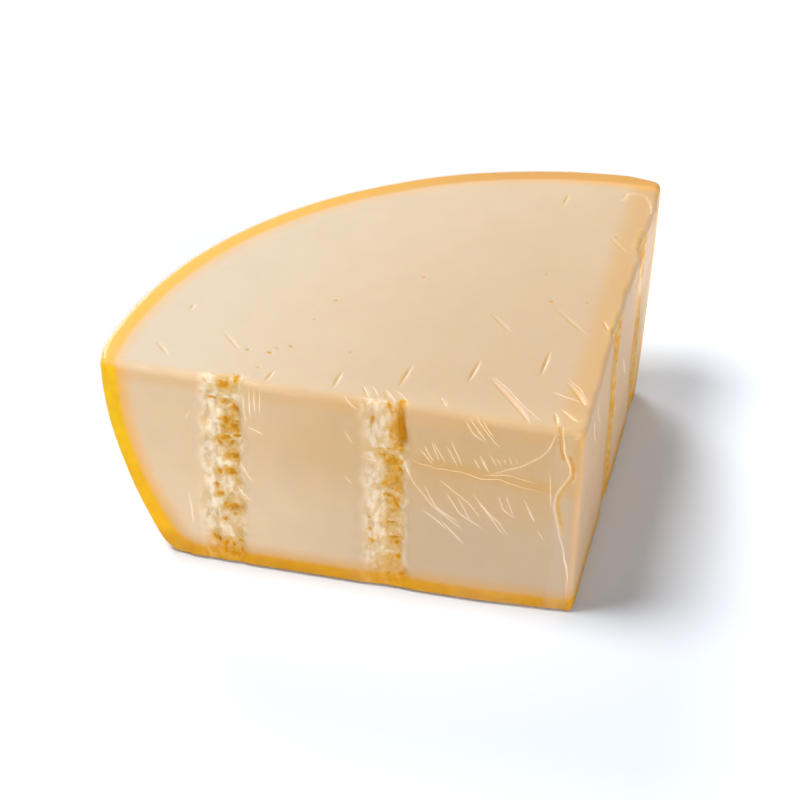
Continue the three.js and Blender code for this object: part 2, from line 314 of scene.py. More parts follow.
def torn(s, z, groove):
    """Relief of a torn groove at s from its middle and height z: depth, then the shares of pits, torn cream
    and gold in the hollows, whose colours are partly painted shade.
    """
    seed = groove.seed
    left = GROOVE_WIDTH / 2 + s - (2.4 * sway(z, 0, 7, seed + 3) + 0.9 * sway(z, 0, 2.3, seed + 4))
    right = GROOVE_WIDTH / 2 - s + (2.2 * sway(z, 0, 8, seed + 5) + 0.9 * sway(z, 0, 2.6, seed + 6))
    inside = smooth(left, -1.5, 4.6) * smooth(right, -1.5, 4.2)
    ridges = np.sin(2 * math.pi * (s + 3.4 * waves(s, z, 9, seed + 7)) / 5 + 0.7) * smooth(s, 4, -3)
    lumps = crumbs(s, z * 0.8, 5.4, seed) + 0.2 * crumbs(s, z, 2.3, seed + 8) + 0.16 * ridges
    hollow = 1.7 * (0.6 - lumps) + 0.22 * sway(s, z, 0.9, seed + 9)
    rough = np.maximum(1.7 + 0.07 * s + hollow, 0.2)
    pits_and_shade, deepened = np.zeros(s.shape), np.zeros(s.shape)
    for pit in groove.pits:
        deep, near = in_pit(s, z, pit, seed + 11)
        pits_and_shade = np.maximum(pits_and_shade, near)
        deepened = np.maximum(deepened, deep * pit[5])
    crumbly = np.full(s.shape, TORN_PALENESS[groove.face])
    if groove.plug:
        on_plug = smooth(z + 1.5 * waves(s, z, 5, seed + 13), PLUG_FOOT, PLUG_FOOT + 3.5)
        barrel = 0.9 + 1.6 * np.clip((s + 1.5) / 9, -1, 1) ** 2 + 0.35 * sway(s, z, 4, seed + 14)
        from_pocket = np.abs(s - 7.2 - 0.9 * sway(z, 0, 5, seed + 15)) / 3.9
        pocket = smooth(from_pocket, 1, 0.25) * smooth(z, 73.5, 77.5)
        rough = rough * (1 - on_plug) + (barrel + 3 * pocket) * on_plug
        pits_and_shade = np.maximum(pits_and_shade, 0.95 * smooth(pocket, 0.25, 0.8))
        crumbly = crumbly * (1 - 0.1 * on_plug)
        hollow = hollow * (1 - on_plug)
    # The torn floor rises to the piece's own edge at the base and at the level cut.
    rising = 0.35 + 0.65 * smooth(z, 0, 9) * smooth(z, HEIGHT + 1, HEIGHT - 9)
    # Gold in the hollows, stronger towards the tip: partly the paste's colour, partly painted shade where
    # the hollows lie in shadow.
    gold_and_shade = smooth(hollow, -0.9, 0.9) * (0.15 + 0.5 * smooth(s, -7, 4))
    for across, up, half_width, half_height, strength in groove.gold:
        away = np.hypot((s - across) / half_width, (z - up) / half_height)
        near = smooth(away + 0.9 * sway(s, z, 2.2, seed + 20), 1.6, 0.4)
        gold_and_shade = np.maximum(gold_and_shade, 1.1 * strength * near)
    shown = inside
    if groove.face == "right":
        # Golden dots just past its near lip.
        shown = smooth(inside, 0, 0.3)
        dotted = smooth(waves(s, 0.7 * z, 3.6, seed + 21), 0.38, 0.62)
        dotted = dotted * smooth(z, 10, 50) * smooth(z, 95, 88)
        pits_and_shade = np.maximum(pits_and_shade, dotted * smooth(np.abs(s + 4), 6, 3))
    depth = inside * (rough * rising + 0.38 * deepened)
    return depth, shown * pits_and_shade, shown * crumbly, shown * np.minimum(gold_and_shade, 1)


def on_grooves(u, v):
    """For points of the walls: every groove that may hold them, with the mask and their place in it."""
    z = height_at(v)
    for groove in GROOVES:
        if groove.face == "front":
            middle = -groove.radius + GROOVE_LEAN * (1 - z / HEIGHT)
            s = u - front_station(0) - middle
            here = u > LEFT_END
        else:
            s = groove.radius - (u - right_station(0))
            here = (u > TIP_END) & (u < RIGHT_END)
        here = here & (np.abs(s) < GROOVE_WIDTH / 2 + 3)
        yield groove, here, s[here], z[here]


def eased(u, v):
    """Depth of the walls' soft unevenness: hollows, a wandering level cut, sags and a blunted tip."""
    away = smooth(u, 0, 12) * smooth(ROUND - u, 0, 12)
    hollows = 0.22 * sway(u, v, 17, 3) + 0.1 * sway(u, v, 6, 4)
    edge = 1.8 * sway(u, 0, 21, 1) + 1.1 * sway(u, 0, 7, 2)
    on_rim = smooth(u, RIGHT_END, BACK_END + 12) * smooth(u, LEFT_END, RIM_END - 12)
    for corner in (RIGHT_END + BACK_END) / 2, (RIM_END + LEFT_END) / 2:
        edge = edge * smooth(np.abs(u - corner), 5, 14)
    behind = smooth(u, RIM_END, BACK_END + 40)
    edge = edge * (1 - on_rim) - (0.9 + 0.8 * behind) * on_rim
    uneven = away * (hollows + edge * smooth(v, TALL - 12, TALL - 2))
    blunt = 0.9 * smooth(u, TIP_END + 5, 0) + 0.9 * smooth(ROUND - u, 9, 0) * (u > LEFT_END)
    sag = FOOT_SAG * smooth(u, LEFT_END, LEFT_END + 70) * smooth(ROUND - u, 6, 46) * smooth(v, 16, 1)
    heel = HEEL_SAG * on_rim * smooth(np.abs(v - 24), 20, 4)
    return uneven - SIDE_SAG * on_rim - heel - sag + np.minimum(blunt, 0.9)


# Where the film is gathered beside the tip: places (x, height) down the front face.
PLEAT = [
    (-11, 99), (-10, 93), (-9, 86), (-6, 77), (-6, 73), (-11, 64), (-12, 58), (-10, 48), (-7, 36), (-3, 18),
    (-2, 8),
]
PLEAT_PATCH = (ROUND - 17, ROUND - 0.6, 4, TALL - 1.5, 0.8)


def beside_pleat(u, v):
    """Which points of the walls are near the pleat, their x and height, and how far right of it they are."""
    here = u > ROUND - 18
    x, z = u[here] - front_station(0), height_at(v[here])
    nearest = np.full(x.shape, 99.0)
    for (start_x, start_z), (end_x, end_z) in zip(PLEAT, PLEAT[1:]):
        run, fall = end_x - start_x, end_z - start_z
        share = np.clip(((x - start_x) * run + (z - start_z) * fall) / (run**2 + fall**2), 0, 1)
        off_x, off_z = x - start_x - share * run, z - start_z - share * fall
        away = np.hypot(off_x, off_z)
        nearest = np.where(away < np.abs(nearest), np.where(off_x > 0, away, -away), nearest)
    return here, x, z, nearest


def cheese_wall(u, v):
    """Depth of the cheese's walls below their smooth faces, and the shares of pits, torn cream and gold in
    the hollows; pits and gold also paint shade, as in the lines beside the pleat.
    """
    depth = eased(u, v)
    painted = [np.zeros(u.shape) for _ in range(3)]
    for groove, here, s, z in on_grooves(u, v):
        sunk, *found = torn(s, z, groove)
        depth[here] += sunk
        for values, more in zip(painted, found):
            values[here] = np.maximum(values[here], more)
    here, x, z, off = beside_pleat(u, v)
    # Painted shade: a line of gold on each side of the pleat, where its fold shades the cheese, and a tan
    # patch below the tip's top.
    pleat_shade_and_tan = 1.15 * smooth(np.abs(off - 1.5), 1.3, 0.4) * smooth(z, 36, 52) * smooth(z, 90, 80)
    pleat_shade_and_tan = np.maximum(pleat_shade_and_tan, 1.1 * smooth(np.abs(off + 1.5), 1.3, 0.4) * smooth(z, 76, 84))
    pleat_shade_and_tan = np.maximum(pleat_shade_and_tan, 0.35 * smooth(np.abs(x + 7), 8, 2) * smooth(z, 66, 84))
    painted[2][here] = np.maximum(painted[2][here], pleat_shade_and_tan)
    # A saturated line of painted shade right of the pleat, in the pits' colour, and an orange pit beside it.
    pleat_shade_and_pit = 0.62 * smooth(np.abs(off - 1.7), 1.2, 0.4) * smooth(z, 40, 54) * smooth(z, 84, 76)
    pleat_shade_and_pit = np.maximum(pleat_shade_and_pit, smooth(np.hypot(1.4 * (x + 4.2), z - 76.5), 3.4, 1.2))
    painted[0][here] = np.maximum(painted[0][here], pleat_shade_and_pit)
    return depth, *painted


# Marks in the top: middle, length, heading in degrees, depth. The left wall is steep, the right one gentle.
TOP_MARKS = [
    (-51, 76, 21, -49, 0.55), (-21, 85, 27, -47, 0.6), (-11, 153, 16, -50, 0.45), (-84, 25, 21, -97, 0.6),
    (-56, 36, 22, -97, 0.8), (-27, 50, 22, -93, 0.9), (-36, 18, 40, -52, 1.5), (-9, 30, 22, -57, 1.2),
    (-41, 186, 14, -94, 0.4), (-15, 196, 9, -99, 0.35), (-6, 86, 8, -60, 0.6), (-191, 18, 14, -51, 0.4),
    (-186, 53, 7, -98, 0.35), (-141, 9, 11, -102, 0.5), (-112, 14, 16, -96, 0.6), (-163, 31, 17, -51, 0.45),
    (-10, 13, 13, -42, 1), (-15, 9, 9, -75, 0.8), (-64, 9, 8, -56, 0.4), (-98, 8, 10, -62, 0.5),
    (-89, 8, 8, -57, 0.4),
]
MARK_STEEP = 0.8
MARK_GENTLE = 1.6
DEEP_MARK = 1.1
# Small dark specks in the top: middle and radius.
TOP_SPECKS = [
    (-154.6, 26.7, 1), (-144.8, 27, 1.2), (-142.5, 30.8, 0.8), (-137, 34, 0.9), (-147.2, 14.2, 0.8),
    (-125.8, 75.1, 0.9), (-131.5, 57.6, 0.6), (-110.7, 36.3, 0.7), (-91.6, 104, 0.9), (-32.6, 99.9, 1),
    (-16.9, 103.4, 0.8), (-19, 115.5, 0.5), (-13.1, 160.5, 0.7), (-38.6, 121.2, 0.6),
]


def top_mark(x, y, mark):
    """Depth of one mark in the top, and how near points are to its steep wall, which gets painted shade, and
    its gentle one, which gets a painted highlight.
    """
    mark_x, mark_y, length, heading, depth = mark
    along, off = turned(x - mark_x, y - mark_y, heading)
    along = along / (length / 2)
    off = off + 1.2 * along**2 * (depth > DEEP_MARK)
    size = np.clip(1 - along**2, 0, 1)
    steep, gentle = smooth(off, -MARK_STEEP * size - 0.05, 0), smooth(off, MARK_GENTLE * size + 0.05, 0)
    steep_shade = size * smooth(np.abs(off + 0.5), 1.5, 0.1)
    painted_highlight = size * smooth(np.abs(off - 0.8), 0.9, 0.1)
    return depth * np.where(off < 0, steep, gentle) * size, steep_shade, painted_highlight


def near_mark(x, y):
    """Whether points of the top lie within a millimetre of one of its marks."""
    near = np.zeros(x.shape, bool)
    for mark_x, mark_y, length, heading, _ in TOP_MARKS:
        along, off = turned(x - mark_x, y - mark_y, heading)
        near |= (np.abs(along) < length / 2 + 1) & (np.abs(off) < MARK_GENTLE + 1)
    for speck_x, speck_y, radius in TOP_SPECKS:
        near |= np.hypot(x - speck_x, y - speck_y) < radius + 1
    return near


def swell(x, y):
    """Depth of the level cut's faint hollows."""
    return 0.3 * sway(x, y, 31, 5) + 0.12 * sway(x, y, 9, 6)


def cheese_top(x, y):
    """Depth of the cheese's top below its level cut, and the share of pit colour: its specks, and painted
    shade on its marks' steep walls.
    """
    depth = swell(x, y)
    streaks = np.sin(2 * math.pi * (x + 1.5 * waves(x, y, 20, 7)) / 5.2)
    depth += 0.1 * streaks * smooth(x, -30, -20) * smooth(x, -4, -8) * smooth(np.abs(y - 115), 26, 10)
    pits_and_shade = np.zeros(x.shape)
    # Painted shade in the pits' colour along each mark's steep wall.
    for mark in TOP_MARKS:
        sunk, steep_shade, _ = top_mark(x, y, mark)
        depth += sunk
        pits_and_shade = np.maximum(pits_and_shade, (0.75 if mark[4] > DEEP_MARK else 0.58) * steep_shade)
    for speck_x, speck_y, radius in TOP_SPECKS:
        inside = smooth(np.hypot(x - speck_x, 1.4 * (y - speck_y)), 1.5 * radius, 0.4 * radius)
        depth += 0.5 * inside
        pits_and_shade = np.maximum(pits_and_shade, inside)
    return depth, pits_and_shade, np.zeros(x.shape), np.zeros(x.shape)


def hexes(low_a, high_a, low_b, high_b, step):
    """Staggered points that fill a rectangle."""
    a, b = np.meshgrid(np.arange(low_a, high_a, step), np.arange(low_b, high_b, step * 0.87))
    a[1::2] += step / 2
    return a.ravel(), b.ravel()


def triangles(a, b, rim):
    """Triangles between points of a plane, inside the closed line through the points numbered rim."""
    edges = list(zip(rim.tolist(), np.roll(rim, -1).tolist()))
    points = [Vector(pair) for pair in zip(a.tolist(), b.tolist())]
    _, _, faces, origins, _, _ = delaunay_2d_cdt(points, edges, [], 1, 1e-7)
    own = [group[0] for group in origins]
    faces = np.array([[own[corner] for corner in face] for face in faces])
    first, second, third = (np.stack([a[faces[:, k]], b[faces[:, k]]], axis=1) for k in range(3))
    one, two = second - first, third - first
    backward = one[:, 0] * two[:, 1] - one[:, 1] * two[:, 0] < 0
    faces[backward] = faces[backward][:, ::-1]
    return faces


def fine_columns(fine):
    """Stations for the rows of points: coarse everywhere, fine inside the given ranges."""
    stretches = zip([0, *ENDS], [*ENDS, ROUND], (7, 72, 8, 110, 8, 72))
    coarse = np.concatenate([np.linspace(*stretch) for stretch in stretches])
    for start, end, _, _, step in fine:
        coarse = coarse[(coarse < start - step / 2) | (coarse > end + step / 2)]
        coarse = np.concatenate([coarse, np.arange(start, end, step)])
    return np.unique(coarse)


def write(mesh, attribute, values):
    """Gives every vertex of a mesh a value."""
    written = mesh.attributes.new(attribute, "FLOAT", "POINT")
    written.data.foreach_set("value", np.array(values, np.float32))


def skin(name, gap, wall, top, fine_walls, attributes):
    """A closed skin round the wedge. wall(u, v) and top(x, y) give depths, then a value for each attribute;
    fine_walls lists rectangles of u and v with the step between points. The top is fine near its marks."""
    full_height = [patch for patch in fine_walls if patch[2] <= 0 and patch[3] >= TALL]
    columns = fine_columns(full_height)
    rows = np.concatenate([
        along_at(BASE_EDGE) * np.linspace(0, 1, 5)[:-1],
        np.linspace(along_at(BASE_EDGE), along_at(HEIGHT - TOP_EDGE), 34)[:-1],
        np.linspace(along_at(HEIGHT - TOP_EDGE), TALL, 8),
    ])
    seam = rows[1:-1]
    ring = len(columns) - 1
    u, v = np.meshgrid(columns, seam)
    u, v = u.ravel(), v.ravel()
    keep = (u > 0) & (u < ROUND)
    for start, end, bottom, ceiling, _ in fine_walls:
        keep &= ~((u > start - 0.2) & (u < end + 0.2) & (v > bottom) & (v < ceiling))
    u, v = [u[keep]], [v[keep]]
    for start, end, bottom, ceiling, step in fine_walls:
        more_u, more_v = hexes(start, end, max(bottom, step * 0.6), min(ceiling, TALL - step * 0.6), step)
        u.append(more_u)
        v.append(more_v)
    # The rim of the unrolled walls: along the base, up the seam, back along the top, and down.
    u = np.concatenate([columns, np.full(len(seam), ROUND), columns[::-1], np.zeros(len(seam)), *u])
    v = np.concatenate([np.zeros(len(columns)), seam, np.full(len(columns), TALL), seam[::-1], *v])
    border = 2 * len(columns) + 2 * len(seam)
    faces = triangles(u, v, np.arange(border))

    depth, *painted = wall(u, v)
    points = place(u, v, depth, gap)
    sink, *_ = top(points[:, 0], points[:, 1])
    points[:, 2] -= sink * smooth(v, TALL - 7, TALL - 2)

    # The seam's last column is the first one again, and the lids share the walls' end rows.
    same = np.arange(len(u))
    corner = ring + 1 + len(seam)
    same[ring] = 0
    same[ring + 1:corner] = np.arange(border - 1, border - 1 - len(seam), -1)
    same[corner] = corner + ring
    base_rim = np.arange(ring)
    top_rim = np.arange(corner + 1, corner + 1 + ring)[::-1]

    def lid(rim, x, y):
        rim_x, rim_y = points[rim, 0], points[rim, 1]

        def edge(at, along, off, near):
            order = np.argsort(along[near])
            return np.interp(at, along[near][order], off[near][order])

        front_line, right_line = edge(x, rim_x, rim_y, rim_y < 40), edge(y, rim_y, rim_x, rim_x > -40)
        outer = np.hypot(rim_x, rim_y).max()
        keep = (y > front_line + 0.8) & (x < right_line - 0.8) & (np.hypot(x, y) < outer - 1.5)
        keep &= (x > -outer + 0.1) & (np.hypot(x + TIP_RADIUS, y - TIP_RADIUS) > 1.2)
        x, y = x[keep], y[keep]
        found = triangles(np.concatenate([rim_x, x]), np.concatenate([rim_y, y]), np.arange(len(rim)))
        return x, y, found

    square = (-WHEEL_RADIUS, 0, 0, WHEEL_RADIUS)
    coarse, fine, broad = (np.array(hexes(*square, step)) for step in (3.2, 0.62, 4))
    inner = np.concatenate([coarse[:, ~near_mark(*coarse)], fine[:, near_mark(*fine)]], axis=1)
    top_x, top_y, top_faces = lid(top_rim, *inner)
    sink, *top_painted = top(top_x, top_y)
    top_points = np.stack([top_x, top_y, HEIGHT - gap - sink], axis=1)
    base_x, base_y, base_faces = lid(base_rim, *broad)
    base_points = np.stack([base_x, base_y, np.full(base_x.shape, gap)], axis=1)

    start = len(points)
    top_names = np.concatenate([top_rim, start + np.arange(len(top_x))])
    base_names = np.concatenate([base_rim, start + len(top_x) + np.arange(len(base_x))])
    faces = np.concatenate([same[faces], top_names[top_faces], base_names[base_faces][:, ::-1]])
    points = np.concatenate([points, top_points, base_points]) * MM + np.array(AXIS)
    used, faces = np.unique(faces, return_inverse=True)
    faces = faces.reshape(-1, 3)
    faces = faces[(faces != np.roll(faces, 1, axis=1)).all(axis=1)]

    mesh = bpy.data.meshes.new(name)
    mesh.from_pydata(points[used].tolist(), [], faces.tolist())
    mesh.shade_smooth()
    for attribute, on_wall, on_top in zip(attributes, painted, top_painted):
        write(mesh, attribute, np.concatenate([on_wall, on_top, np.zeros(len(base_x))])[used])
    return added(name, mesh)


def fine_patches(step_front, step_right):
    """Rectangles of the unrolled walls that hold the grooves and the pleat, with the steps in them."""
    patches = []
    half = GROOVE_WIDTH / 2 + 1.6
    for groove in GROOVES:
        if groove.face == "front":
            middle = front_station(-groove.radius)
            patches.append((middle - half, middle + GROOVE_LEAN + half, -1, TALL + 1, step_front))
        else:
            middle = right_station(groove.radius)
            patches.append((middle - half, middle + half, -1, TALL + 1, step_right))
    return [*patches, PLEAT_PATCH]


cheese = skin(
    "cheese", CHEESE_GAP, cheese_wall, cheese_top, fine_patches(0.55, 0.75), ["pits_and_shade", "torn", "hollow"],
)


class Value:
    """What comes out of a node, so that a tree's maths reads as sums."""

    def __init__(self, tree, socket):
        self.tree = tree
        self.socket = socket

    def math(self, operation, *others):
        return self.tree.node("Math", {0: self, **dict(enumerate(others, 1))}, operation=operation)

    def __add__(self, other):
        return self.math("ADD", other)

    def __mul__(self, other):
        return self.math("MULTIPLY", other)

    def __sub__(self, other):
        return self.math("SUBTRACT", other)

    def __rsub__(self, other):
        return self * -1 + other

    def __truediv__(self, other):
        return self.math("DIVIDE", other)

    def __pow__(self, other):
        return self.math("POWER", other)

    def ramp(self, start, end):
        """0 below start, 1 above end, eased between; start may be the larger."""
        inputs = {"Value": self, "From Min": start, "From Max": end}
        return self.tree.node("MapRange", inputs, interpolation_type="SMOOTHSTEP")

    def tint(self, share, other):
        """This colour, turned by a share into another."""
        return self.tree.blend(share, self, other)


class Tree:
    """A tree of nodes under construction."""

    def __init__(self, nodes):
        self.nodes = nodes
        nodes.nodes.clear()

    def node(self, kind, inputs, result=0, **settings):
        """Adds a node with its settings, then its inputs' values or links, and returns one of its outputs.
        A kind is written in full unless it starts with ShaderNode."""
        made = self.nodes.nodes.new(kind if "Node" in kind else "ShaderNode" + kind)
        for setting, value in settings.items():
            setattr(made, setting, value)
        for name, value in inputs.items():
            if isinstance(value, Value):
                self.nodes.links.new(value.socket, made.inputs[name])
            else:
                made.inputs[name].default_value = value
        return Value(self, made.outputs[result])


class Paint(Tree):
    """A material under construction."""

    def __init__(self, name):
        self.material = bpy.data.materials.new(name)
        self.material.use_nodes = True
        super().__init__(self.material.node_tree)

    def blend(self, share, one, other):
        """A colour between two, by a share. Each is a value, or sRGB from 0 to 255."""
        one, other = (end if isinstance(end, Value) else colour(*end) for end in (one, other))
        return self.node("Mix", {0: share, 6: one, 7: other}, 2, data_type="RGBA")

    def coordinates(self):
        return self.node("TexCoord", {}, "Object")

    def attribute(self, name):
        return self.node("Attribute", {}, "Fac", attribute_name=name)

    def noise(self, size, detail=3, roughness=0.5, stretch=(1, 1, 1)):
        """Noise with features of a size in millimetres."""
        spread = tuple(1 / factor for factor in stretch)
        where = self.node("Mapping", {"Vector": self.coordinates(), "Scale": spread})
        inputs = {"Vector": where, "Scale": 1 / (size * MM), "Detail": detail, "Roughness": roughness}
        return self.node("TexNoise", inputs)

    def finish(self, shader):
        output = self.nodes.nodes.new("ShaderNodeOutputMaterial")
        self.nodes.links.new(shader.socket, output.inputs["Surface"])
        return self.material


def colour(*parts):
    """An sRGB colour, from 0 to 255, as Blender's linear values."""
    linear = (part / 255 / 12.92 if part <= 10 else ((part / 255 + 0.055) / 1.055) ** 2.4 for part in parts)
    return (*linear, 1)


def cheese_material():
    paint = Paint("pressed_curd")
    moved = paint.node("VectorMath", {0: paint.coordinates(), 1: tuple(AXIS)}, operation="SUBTRACT")
    x, y, z = (paint.node("SeparateXYZ", {"Vector": moved}, axis) * (1 / MM) for axis in "XYZ")
    radius = (x * x + y * y) ** 0.5
    below = (1 - z * (1 / HEIGHT)).math("MAXIMUM", 0) ** SIDE_CURVE
    from_side = WHEEL_RADIUS - below * FOOT_INSET - radius  # level distance in from the curved side
    drift = paint.noise(24, 2) - 0.5
    blotches = paint.noise(9, 4, 0.55)
    grain = paint.noise(1.3, 3, 0.6)
    on_top = z.ramp(93, 95.3)

    # The paste: paler away from the axis, partly its own tone and partly painted light, brighter towards the
    # key lamp on the left; tanner up the front face and along the edges of the level cut.
    outward = (radius - x) * 0.5 + drift * 36 + (blotches - 0.5) * 30
    front = y.ramp(7, 1)
    step = (z - 67 + (x + 46) * 0.06).math("ABSOLUTE").ramp(5.5, 0.5) * x.ramp(-92, -60)
    below_edge = front * z.ramp(85, 91) * z.ramp(95, 92.5)
    right_edge = x.ramp(-17, -8) * x.ramp(-0.5, -4) * z.ramp(90, 94)
    front_edge = y.ramp(24, 3) * x.ramp(-130, -60) * on_top
    paste = paint.blend(outward.ramp(40, 205), (205, 176, 142), (218, 197, 166))
    paste = paste.tint(front * outward.ramp(60, 150) * 0.5, (236, 204, 165))
    paste = paste.tint(front * z.ramp(28, 68) * (outward.ramp(190, 90) * 0.5 + 0.2), (212, 172, 118))
    paste = paste.tint(front * step * 0.5, (210, 164, 88))
    paste = paste.tint(x.ramp(-6, -1) * 0.55, (226, 178, 128))
    paste = paste.tint(front * x.ramp(-13, -6) * z.ramp(58, 80) * 0.5, (214, 166, 88))
    paste = paste.tint(below_edge * 0.4, (220, 172, 108))
    paste = paste.tint(right_edge * 0.7, (208, 166, 108))
    paste = paste.tint(front_edge * 0.2, (226, 200, 156))
    paste = paste.tint(grain.ramp(0.62, 0.78) * 0.15, (200, 158, 104))

    # The torn grooves: waxy cream on the lumps; tan and gold in the hollows, partly the paste's own colour
    # and partly painted shade.
    flakes = paint.noise(3.4, 4, 0.62, (1, 1, 1.8)).ramp(0.42, 0.58)
    paste = paste.tint(paint.attribute("torn") * 0.9, paint.blend(flakes, (220, 187, 138), (238, 218, 188)))
    gold_and_shade_mix = paint.attribute("hollow") * ((paint.noise(2.2, 4, 0.7) - 0.5) * 2.4 + 1)
    paste = paste.tint(gold_and_shade_mix.ramp(0.1, 0.55) * 0.85, (216, 176, 108))
    paste = paste.tint(gold_and_shade_mix.ramp(0.5, 1) * 0.9, (208, 148, 30))

    # The rind: distance from the nearer of the side and the base, joined round the heel.
    thickness = z.ramp(48, 6) * 4.5 + 14 - on_top * 2
    side_part = (1 - (from_side + on_top * 0.4) * 0.9 / thickness).math("MAXIMUM", 0)
    base_part = (1 - z / 13).math("MAXIMUM", 0)
    rind_depth = 1 - (side_part * side_part + base_part * base_part) ** 0.5 + drift * 0.08
    behind = on_top * x.ramp(-70, -10) * 0.3
    warm = paint.blend(z.ramp(40, 8), (240, 174, 84), (214, 162, 92))
    paste = paste.tint(rind_depth.ramp(1.05, 0.45) * (0.85 - on_top * 0.45 + behind), warm)
    mottled = paint.noise(6, 4).ramp(0.35, 0.65)
    base_rind = paint.blend(mottled, (210, 146, 20), (216, 156, 28))
    level_rind = paint.blend((x * -1).ramp(60, 190), (214, 160, 88), (236, 183, 84))
    side_rind = paint.blend(mottled, (236, 180, 4), (244, 194, 6))
    side_rind = side_rind.tint(z.ramp(70, 20) * 0.5, (240, 168, 12))
    side_rind = side_rind.tint((1 - z / 16).ramp(0, 0.8), base_rind)
    whole = paste.tint(rind_depth.ramp(0.62, 0.42), side_rind.tint(on_top, level_rind))

    # Pits with ragged edges, the colour of the rind; the same colour is painted shade on the top marks'
    # steep walls and beside the pleat.
    pits_and_shade_share = paint.attribute("pits_and_shade")
    ragged = pits_and_shade_share + (paint.noise(1.5, 5, 0.75) - 0.5) * 2
    whole = whole.tint(pits_and_shade_share.ramp(0.1, 0.8) * 0.65, (220, 172, 76))
    whole = whole.tint(ragged.ramp(0.66, 0.86), (216, 148, 2))

    bumps = {"Height": grain * 0.5 + blotches * 0.5, "Strength": 0.25, "Distance": 0.4 * MM}
    return paint.finish(paint.node("BsdfPrincipled", {
        "Base Color": whole, "Roughness": blotches.ramp(0.2, 0.8) * 0.12 + 0.48,
        "Normal": paint.node("Bump", bumps), "Specular IOR Level": 0.1,
        "Subsurface Weight": 0.4, "Subsurface Radius": (1, 0.6, 0.25), "Subsurface Scale": 3 * MM,
    }))


CHEESE = cheese_material()
cheese.data.materials.append(CHEESE)
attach(cheese, "root")
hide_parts("cheese_wedge")

# ---------------- crumbs in the grooves
# Loose crumbs of curd, half a millimetre to two across, broken off by the cutting frame's posts. They stick
# where they fell, scattered over the torn floors and held there by the film.

CRUMB_RADIUS = 0.5
CRUMBS_PER_MM2 = 0.04


class Growth(Tree):
    """A geometry tree under construction, with an input for geometry and for each named size."""

    def __init__(self, name, sizes):
        super().__init__(bpy.data.node_groups.new(name, "GeometryNodeTree"))
        sockets = self.nodes.interface
        sockets.new_socket("Geometry", in_out="INPUT", socket_type="NodeSocketGeometry")
        for label in sizes:
            sockets.new_socket(label, in_out="INPUT", socket_type="NodeSocketFloat")
        sockets.new_socket("Geometry", in_out="OUTPUT", socket_type="NodeSocketGeometry")
        self.given = self.nodes.nodes.new("NodeGroupInput")

    def taken(self, label):
        return Value(self, self.given.outputs[label])

    def attribute(self, name):
        return self.node("GeometryNodeInputNamedAttribute", {"Name": name}, data_type="FLOAT")

    def finish(self, shape, attribute, value, material):
        """Ends the tree in one plain mesh, with an attribute and a material."""
        real = self.node("GeometryNodeRealizeInstances", {"Geometry": shape})
        marked = self.node("GeometryNodeStoreNamedAttribute", {
            "Geometry": real, "Name": attribute, "Value": value,
        }, data_type="FLOAT", domain="POINT")
        done = self.node("GeometryNodeSetMaterial", {"Geometry": marked, "Material": material})
        output = self.nodes.nodes.new("NodeGroupOutput")
        self.nodes.links.new(done.socket, output.inputs["Geometry"])
        return self.nodes


def grown(name, base, tree, sizes, material):
    """The plain mesh that a geometry tree makes of an object."""
    modifier = base.modifiers.new("grow", "NODES")
    modifier.node_group = tree
    for item in tree.interface.items_tree:
        if item.in_out == "INPUT" and item.name in sizes:
            modifier[item.identifier] = sizes[item.name]
    seen = base.evaluated_get(bpy.context.evaluated_depsgraph_get())
    mesh = bpy.data.meshes.new_from_object(seen)
    base.modifiers.remove(modifier)
    mesh.name = name
    mesh.materials.clear()
    mesh.materials.append(material)
    mesh.shade_smooth()
    return added(name, mesh)


def crumb_tree():
    grow = Growth("scattered_crumbs", ["Crumb radius", "Crumbs per square metre"])
    radius = grow.taken("Crumb radius")
    points = grow.node("GeometryNodeDistributePointsOnFaces", {
        "Mesh": grow.taken("Geometry"), "Seed": 5,
        "Density": grow.attribute("torn") ** 4 * grow.taken("Crumbs per square metre"),
    })
    lump = grow.node("GeometryNodeMeshIcoSphere", {"Radius": radius, "Subdivisions": 2})
    where = grow.node("GeometryNodeInputPosition", {})
    bumps = grow.node("TexNoise", {"Vector": where, "Scale": 900}, "Color")
    centred = grow.node("VectorMath", {0: bumps, 1: (0.5, 0.5, 0.5)}, operation="SUBTRACT")
    push = grow.node("VectorMath", {0: centred, "Scale": radius * 2.2}, operation="SCALE")
    ragged = grow.node("GeometryNodeSetPosition", {"Geometry": lump, "Offset": push})
    turns = {0: (0, 0, 0), 1: (6.28, 6.28, 6.28), "Seed": 6}
    sizes = {0: (0.4, 0.4, 0.3), 1: (1.3, 1, 0.9), "Seed": 7}
    scattered = grow.node("GeometryNodeInstanceOnPoints", {
        "Points": points, "Instance": ragged,
        "Rotation": grow.node("FunctionNodeRandomValue", turns, data_type="FLOAT_VECTOR"),
        "Scale": grow.node("FunctionNodeRandomValue", sizes, data_type="FLOAT_VECTOR"),
    })
    return grow.finish(scattered, "torn", 1, CHEESE)


loose = grown(
    "crumbs", cheese, crumb_tree(),
    {"Crumb radius": CRUMB_RADIUS * MM, "Crumbs per square metre": CRUMBS_PER_MM2 / MM**2}, CHEESE,
)
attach(loose, "root")
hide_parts("cheese_wedge")

# ---------------- the film
# Clear vacuum film, drawn tight over the whole wedge. It follows the top's marks, bridges the crumbs of the
# grooves a little above them, and is gathered in a pleat beside the tip.

FILM_GAP = 0.05
FILM_CELL = 0.5


